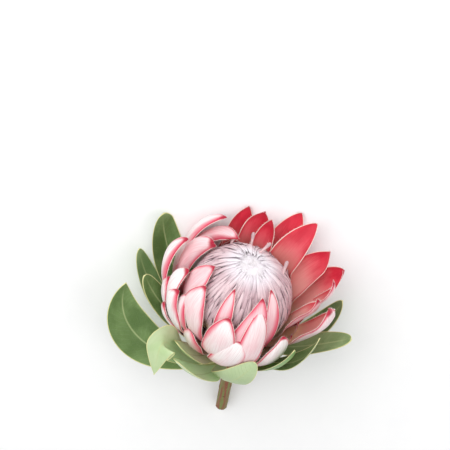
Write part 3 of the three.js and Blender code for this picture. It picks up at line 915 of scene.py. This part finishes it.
# the rings of a floret: shares of its length, and shares of its width there
FLORET_RINGS = np.array([0.0, 0.12, 0.26, 0.42, 0.58, 0.74, 0.88, 0.96, 1.0])
FLORET_SWELL = np.array([0.7, 0.95, 1.0, 0.95, 0.84, 0.68, 0.48, 0.28, 0.05])
FLORET_CORNERS = 8
# how far a floret's root lies in the core, and how far it comes out at first and by its end
FLORET_SUNK = 2.5
FLORET_OUT = (4.2, 1.2)
UNEVEN_STEP = 1.6
APEX_PRESS = 1.8
PROUD_STEP = 2.4
LOOSE_AZIMUTH = math.radians(145)
LOOSE_STEP = 1.8


def dome_way(polar, azimuth):
    """The way out from the dome's centre, at a polar angle off an apex that leans a little to the
    open side and up: the ball's own direction, turned by the lean."""
    x, y, z = np.sin(polar) * np.cos(azimuth), np.sin(polar) * np.sin(azimuth), np.cos(polar)
    lean_x, lean_y = APEX_LEAN
    return unit(np.stack([
        x * math.cos(lean_x) + z * math.sin(lean_x), y + z * lean_y,
        -x * math.sin(lean_x) + z * math.cos(lean_x) - y * lean_y], -1))


def florets():
    """Each floret is a flat tube of rings. Its root lies at one turn of a golden spiral over the
    dome; from there its line runs to the apex along the dome, out of the core and then clear of it,
    with a small random swerve. Its width swells and closes to a point, and is less near the apex,
    where the ends lie close; elsewhere a few stand off the dome, and those on one side lie loose."""
    n = np.arange(FLORET_COUNT)
    s = FLORET_RINGS
    share = (n + 0.5) / FLORET_COUNT
    polar = np.arccos(LOWEST_ROOT + share * (HIGHEST_ROOT - LOWEST_ROOT))
    azimuth = n * GOLDEN_ANGLE
    length = FLORET_LENGTH * (0.35 + 0.65 * np.clip(polar / 1.2, 0, 1)) * (0.8 + 0.4 * draw(n, 31))
    length = np.minimum(length, DOME_RADIUS * (polar - 0.2 - 0.12 * draw(n, 37)))
    polar_s = polar[:, None] - s * length[:, None] / DOME_RADIUS
    swerve = (draw(n, 32) - 0.5) * 0.15 + 0.04
    turn = azimuth[:, None] + s ** 2 * (swerve / np.maximum(0.25, np.sin(polar)))[:, None]
    free = smooth(polar, 0.5, 1.0)[:, None]
    lifted = CORE_RADIUS - FLORET_SUNK + FLORET_OUT[0] * smooth(s, 0.0, 0.35) + FLORET_OUT[1] * s ** 2
    uneven = UNEVEN_STEP * (draw(n, 33)[:, None] - 0.5)
    lifted = lifted[None] + uneven * free * s - APEX_PRESS * (1 - free) * s
    lifted = lifted + PROUD_STEP * smooth(draw(n, 36), 0.8, 1.0)[:, None] * free * s ** 4
    slack = LOOSE_STEP * smooth(np.cos(azimuth - LOOSE_AZIMUTH), 0.3, 0.9)[:, None]
    lifted = lifted + slack * free * smooth(s, 0.1, 0.6)
    out = dome_way(polar_s, turn)
    centre = DOME_CENTRE + out * lifted[..., None]
    along = unit(np.gradient(centre, axis=1))
    side = unit(np.cross(out, along))
    up = np.cross(along, side)
    narrow = (0.7 + 0.5 * draw(n, 34)) * (0.4 + 0.6 * np.clip(polar / 1.0, 0, 1))
    width = (0.5 * FLORET_WIDTH * FLORET_SWELL)[None] * narrow[:, None]
    corners = np.arange(FLORET_CORNERS) * 2 * math.pi / FLORET_CORNERS
    flat = 0.5 * up[:, :, None] * np.sin(corners)[:, None]
    ring = side[:, :, None] * np.cos(corners)[:, None] + flat
    points = centre[:, :, None] + ring * width[..., None, None]

    def spread(values):
        return np.broadcast_to(values, points.shape[:3])

    per_floret, per_ring = n[:, None, None], s[:, None]
    fields = {
        "polar": spread(np.degrees(polar_s)[..., None]),
        "along": spread(per_ring),
        "aside": spread(np.abs(np.cos(corners))),
        "tint": spread(draw(per_floret, 35)),
        "place": np.stack([
            np.cos(corners) * width[..., None], spread(per_ring * length[:, None, None]),
            spread(3.0 * per_floret)], -1),
    }
    return points, tube_faces(len(s), FLORET_CORNERS, FLORET_COUNT), fields


def floret_silk():
    """Pale lilac pink with fine streaks along it, with painted shade at the root, where it lies under
    other florets, and along both sides, where it meets its neighbours, greyer at the free end, white
    toward the apex and tan at the dome's foot."""
    finish = Finish("floret_silk", Specular_IOR_Level=0.3, Sheen_Weight=0.2, Sheen_Roughness=0.4)
    along, polar = finish.field("along"), finish.field("polar")
    streaks = finish.grain(1.5, 0.07, 1.0, detail=3.0)
    gap_shade_share = 0.2 + 0.8 * polar.rise(16.0, 38.0)
    colour = finish.coats(
        (236, 212, 216),
        (finish.field("tint"), 198, 166, 174),
        (streaks.rise(0.45, 0.7) * 0.45, 176, 142, 150),
        # painted shade: a dark mauve along both sides and at the root stands for the shade between the
        # florets, less of it toward the apex
        (finish.field("aside").rise(0.6, 1.0) * gap_shade_share * 0.95, 104, 76, 86),
        (along.rise(0.5, 0.15) * gap_shade_share, 98, 72, 80),
        (along.rise(0.86, 1.0) * 0.5, 150, 122, 130),
        (polar.rise(38.0, 17.0) * 0.94, 240, 234, 240),
        (polar.rise(84.0, 104.0), 200, 172, 118),
        (streaks.rise(0.4, 0.25) * 0.25, 252, 244, 246),
    )
    return finish.close(colour, 0.62 + 0.1 * streaks, streaks, 0.2)


# painted shade: the core's dark colour stands for the shade between the florets
def core_gap_shade():
    """Painted shade: dark paint for the shade in the gaps between the florets, white toward the apex."""
    finish = Finish("core_gap_shade", Specular_IOR_Level=0.2)
    tufts = finish.speckle(500.0, 3.0)
    colour = finish.coats(
        (96, 72, 82),
        (tufts.rise(0.3, 0.7), 126, 100, 110),
        (finish.field("polar").rise(46.0, 28.0), 246, 241, 246),
    )
    return finish.close(colour, 0.85 + 0.1 * tufts, tufts, 0.6)


new_piece("floret_tubes", florets(), [floret_silk()], "floret", "florets")
core_angles = np.radians(np.linspace(-44, 90, 28))
core_outline = [[0, CORE_FOOT], [CORE_FOOT_RADIUS, CORE_FOOT]] + [
    [CORE_RADIUS * math.cos(a), DOME_CENTRE[2] + CORE_RADIUS * math.sin(a)] for a in core_angles
]
core_points, core_faces, core_fields = turned(core_outline)
core_points = core_points + [DOME_CENTRE[0], 0, 0]
core_fields["polar"] = np.degrees(np.arccos(np.clip(unit(core_points - DOME_CENTRE)[..., 2], -1, 1)))
new_piece(
    "floret_core", (core_points, core_faces, core_fields), [core_gap_shade()], "floret", "florets",
)


# ---------------------------------------------------------------- down on the florets
# Silky hairs cover the florets' ends. They lie toward the apex, where they are longest and
# tangle into a white tuft.
DOWN_COUNT = 5000
DOWN_RADIUS = 0.1
DOWN_LENGTH = 2.6
# the cosine of the polar angle at the highest hair, and how much less it is at the lowest
DOWN_TOP = 0.9995
DOWN_SPAN = 1.25


def floret_down():
    """Hairs rooted at random over the dome, thicker toward the apex. Each runs to the apex and a
    little out, with a random spread that grows near it, and is up to twice the least length long
    and half as long again in the tuft."""
    share = chance.random(DOWN_COUNT) ** 1.3
    polar = np.arccos(DOWN_TOP - share * DOWN_SPAN)
    azimuth = 2 * math.pi * chance.random(DOWN_COUNT)
    out = dome_way(polar, azimuth)
    ahead = dome_way(polar - 0.02, azimuth)
    way = unit(ahead - out)
    tuft = smooth(-polar, -0.5, -0.15)[:, None]
    stray = chance.standard_normal(out.shape)
    lean = unit(way * (1 - 0.8 * tuft) + out * (0.28 + 0.2 * tuft) + stray * (0.16 + 0.5 * tuft))
    length = DOWN_LENGTH * (1 + chance.random((DOWN_COUNT, 1))) * (1 + 0.5 * tuft)
    roots = DOME_CENTRE + out * (DOME_RADIUS + 0.2 - 1.0 * tuft)
    return needles(roots, roots + lean * length, DOWN_RADIUS)


new_piece(
    "floret_down", floret_down(), [hair_finish("down_hair", 240, 233, 239)], "floret", "florets",
)


# ---------------------------------------------------------------- stray styles
# A few styles have sprung free at the far rim of the dome: stiff, waxy rods that stand up between
# the florets, cream along the stalk and lilac at the swollen end.
STYLE_ENDS = np.array([
    [[-25, 36, 104], [-21, 42, 112]],
    [[-3, 35, 100], [-3, 50, 114]],
    [[5, 19, 112], [17, 30, 123]],
    [[35, 4, 98], [38, 18, 113]],
], float)
# the rings of a rod: shares of its length, and radii
ROD_RINGS = np.array([0.0, 0.3, 0.6, 0.72, 0.85, 0.95, 1.0])[:, None]
ROD_RADII = np.array([1.3, 1.3, 1.5, 1.9, 2.1, 1.8, 0.8])[:, None, None]
ROD_CORNERS = 10


def style_rod(root, tip):
    """A round rod along a straight line, thicker toward a blunt end: ring radii times a circle."""
    way = unit(tip - root)
    first = unit(np.cross(way, [0.9, 0.3, 0.1]))
    second = np.cross(way, first)
    corners = np.arange(ROD_CORNERS)[:, None] * 2 * math.pi / ROD_CORNERS
    circle = first * np.cos(corners) + second * np.sin(corners)
    return root + (tip - root) * ROD_RINGS[:, None] + circle * ROD_RADII


def style_wax():
    """Cream stalk, lilac at the swollen end."""
    finish = Finish("style_wax", Specular_IOR_Level=0.4)
    fleck = finish.speckle(700.0)
    colour = finish.coats(
        (228, 196, 196),
        (fleck, 206, 170, 174),
        (finish.field("along").rise(0.55, 0.75) * 0.8, 190, 160, 164),
    )
    return finish.close(colour, 0.5 + 0.1 * fleck, fleck, 0.1)


rods = np.stack([style_rod(root, tip) for root, tip in STYLE_ENDS])
rod_faces = tube_faces(len(ROD_RINGS), ROD_CORNERS, len(rods))
rod_fields = {"along": np.broadcast_to(ROD_RINGS, rods.shape[:3])}
new_piece("stray_styles", (rods, rod_faces, rod_fields), [style_wax()], "floret", "florets")


# ---------------------------------------------------------------- floor, light and camera
# A pale table top, a large soft lamp above the camera and weaker ones to its right and left, and a
# camera that looks down on the flower as the photograph looks at the bloom.
BLOOM_POINT = laid([0, 0, 64])
CAMERA_TURN = math.radians(11)
CAMERA_LIFT = math.radians(63)
VIEW_WAY = np.array([0, -math.cos(CAMERA_LIFT), math.sin(CAMERA_LIFT)])
PIXEL = 0.00108
BLOOM_PIXEL = (244, 297)
LENS, SENSOR = 180, 36
FRAME_PIXELS = 450
FLOOR_REACH = 6.0
# for each lamp: how far its way from the bloom leans up and right of the camera's, its distance and
# width in metres, and its power in watts
LAMPS = {
    "key_light": (0.35, -0.2, 1.4, 1.3, 10),
    "fill_light": (-0.35, 0.9, 1.6, 1.4, 6),
    "side_light": (-0.2, -1.2, 1.6, 1.4, 5.5),
}
WORLD_STRENGTH = 0.62


def floor_piece():
    """A flat square at height 0, on which the flower lies."""
    mesh = bpy.data.meshes.new("table_top")
    corners = FLOOR_REACH * np.array([(-1, -1, 0), (1, -1, 0), (1, 1, 0), (-1, 1, 0)])
    mesh.from_pydata(corners.tolist(), [], [(0, 1, 2, 3)])
    finish = Finish("table_white")
    grain = finish.speckle(40.0)
    colour = finish.coats((250, 250, 250), (grain, 246, 246, 247))
    mesh.materials.append(finish.close(colour, 0.75 + 0.05 * grain))
    table_top = added("table_top", mesh)


def looking(place, way, up):
    """The matrix of a lamp or camera at a place, that looks against way."""
    right = unit(np.cross(up, way))
    up = np.cross(way, right)
    matrix = np.eye(4)
    matrix[:3, :3] = np.stack([right, up, way], 1)
    matrix[:3, 3] = place
    return Matrix(matrix.tolist())


def soft_light(name, way, distance, size, power):
    """A round lamp on a way from the bloom, at a distance, that looks back at it."""
    data = bpy.data.lights.new(name, "AREA")
    data.shape = "DISK"
    data.size = size
    data.energy = power
    lamp = added(name, data)
    lamp.matrix_world = looking(BLOOM_POINT + way * distance, way, np.array([0, 1.0, 0.2]))


floor_piece()
flat_right = np.array([-1.0, 0, 0])
flat_up = np.cross(VIEW_WAY, flat_right)
image_right = flat_right * math.cos(CAMERA_TURN) + flat_up * math.sin(CAMERA_TURN)
image_up = np.cross(VIEW_WAY, image_right)
aim = BLOOM_POINT - PIXEL * (
    (BLOOM_PIXEL[0] - FRAME_PIXELS / 2) * image_right - (BLOOM_PIXEL[1] - FRAME_PIXELS / 2) * image_up
)
camera_data = bpy.data.cameras.new("camera")
camera_data.lens = LENS
camera_data.sensor_width = SENSOR
camera = added("camera", camera_data)
distance = PIXEL * FRAME_PIXELS * LENS / SENSOR
camera.matrix_world = looking(aim + VIEW_WAY * distance, VIEW_WAY, image_up)
bpy.context.scene.camera = camera

for name, (rise, right, distance, size, power) in LAMPS.items():
    soft_light(name, unit(VIEW_WAY + rise * image_up + right * image_right), distance, size, power)
world = bpy.data.worlds.new("studio")
world.use_nodes = True
background = world.node_tree.nodes["Background"].inputs
background["Color"].default_value = (1.0, 1.0, 1.0, 1.0)
background["Strength"].default_value = WORLD_STRENGTH
bpy.context.scene.world = world
bpy.context.scene.view_settings.view_transform = "Standard"
